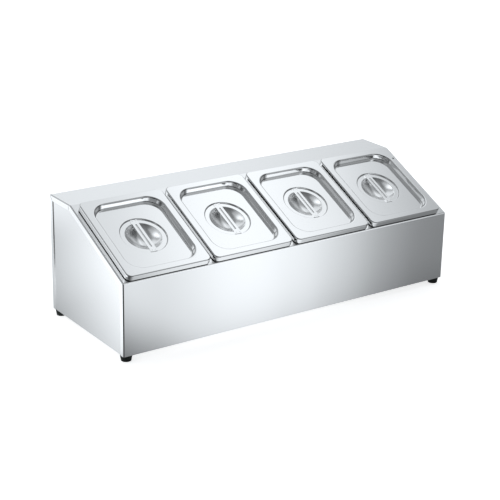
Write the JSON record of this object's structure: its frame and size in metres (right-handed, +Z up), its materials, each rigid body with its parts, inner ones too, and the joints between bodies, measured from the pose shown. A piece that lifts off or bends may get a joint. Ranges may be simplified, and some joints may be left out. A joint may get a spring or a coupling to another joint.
{
  "type": "condiment station",
  "caption": "Sloped sheet-steel countertop condiment station with a row of lift-out food pans, lift-off lids with recessed strap handles, and rubber feet.",
  "frame": {"origin": "on the table, under the middle of the casing", "axes": "+X along the row to the right-hand pan, +Y from the front panel to the back, +Z up"},
  "size_m": [0.68, 0.2494, 0.2248],
  "materials": {
    "casing_steel": "satin, horizontal grain",
    "lid_steel": "polished",
    "pan_steel": "polished",
    "fastener_steel": "plain",
    "foot_rubber": "matte"
  },
  "bodies": {
    "casing": {"front_panel": "casing_steel", "deck": "casing_steel", "left_side_panel": "casing_steel", "right_side_panel": "casing_steel", "rear_cover": "casing_steel", "base_plate": "casing_steel", "foot_front_left": "foot_rubber", "foot_front_right": "foot_rubber", "foot_rear_left": "foot_rubber", "foot_rear_right": "foot_rubber", "foot_screws": "fastener_steel", "foot_washers": "fastener_steel", "foot_nuts": "fastener_steel"},
    "pan_1": {"pan_1": "pan_steel"},
    "pan_2": {"pan_2": "pan_steel"},
    "pan_3": {"pan_3": "pan_steel"},
    "pan_4": {"pan_4": "pan_steel"},
    "lid_1": {"lid_1": "lid_steel", "lid_handle_1": "lid_steel"},
    "lid_2": {"lid_2": "lid_steel", "lid_handle_2": "lid_steel"},
    "lid_3": {"lid_3": "lid_steel", "lid_handle_3": "lid_steel"},
    "lid_4": {"lid_4": "lid_steel", "lid_handle_4": "lid_steel"}
  },
  "joints": [
    {"name": "pan_1_lift", "type": "slide", "parent": "casing", "child": "pan_1", "axis": [0, -0.422, 0.9066], "range_m": [0, 0.12]},
    {"name": "pan_2_lift", "type": "slide", "parent": "casing", "child": "pan_2", "axis": [0, -0.422, 0.9066], "range_m": [0, 0.12]},
    {"name": "pan_3_lift", "type": "slide", "parent": "casing", "child": "pan_3", "axis": [0, -0.422, 0.9066], "range_m": [0, 0.12]},
    {"name": "pan_4_lift", "type": "slide", "parent": "casing", "child": "pan_4", "axis": [0, -0.422, 0.9066], "range_m": [0, 0.12]},
    {"name": "lid_1_lift", "type": "slide", "parent": "pan_1", "child": "lid_1", "axis": [0, -0.422, 0.9066], "range_m": [0, 0.06]},
    {"name": "lid_2_lift", "type": "slide", "parent": "pan_2", "child": "lid_2", "axis": [0, -0.422, 0.9066], "range_m": [0, 0.06]},
    {"name": "lid_3_lift", "type": "slide", "parent": "pan_3", "child": "lid_3", "axis": [0, -0.422, 0.9066], "range_m": [0, 0.06]},
    {"name": "lid_4_lift", "type": "slide", "parent": "pan_4", "child": "lid_4", "axis": [0, -0.422, 0.9066], "range_m": [0, 0.06]}
  ]
}
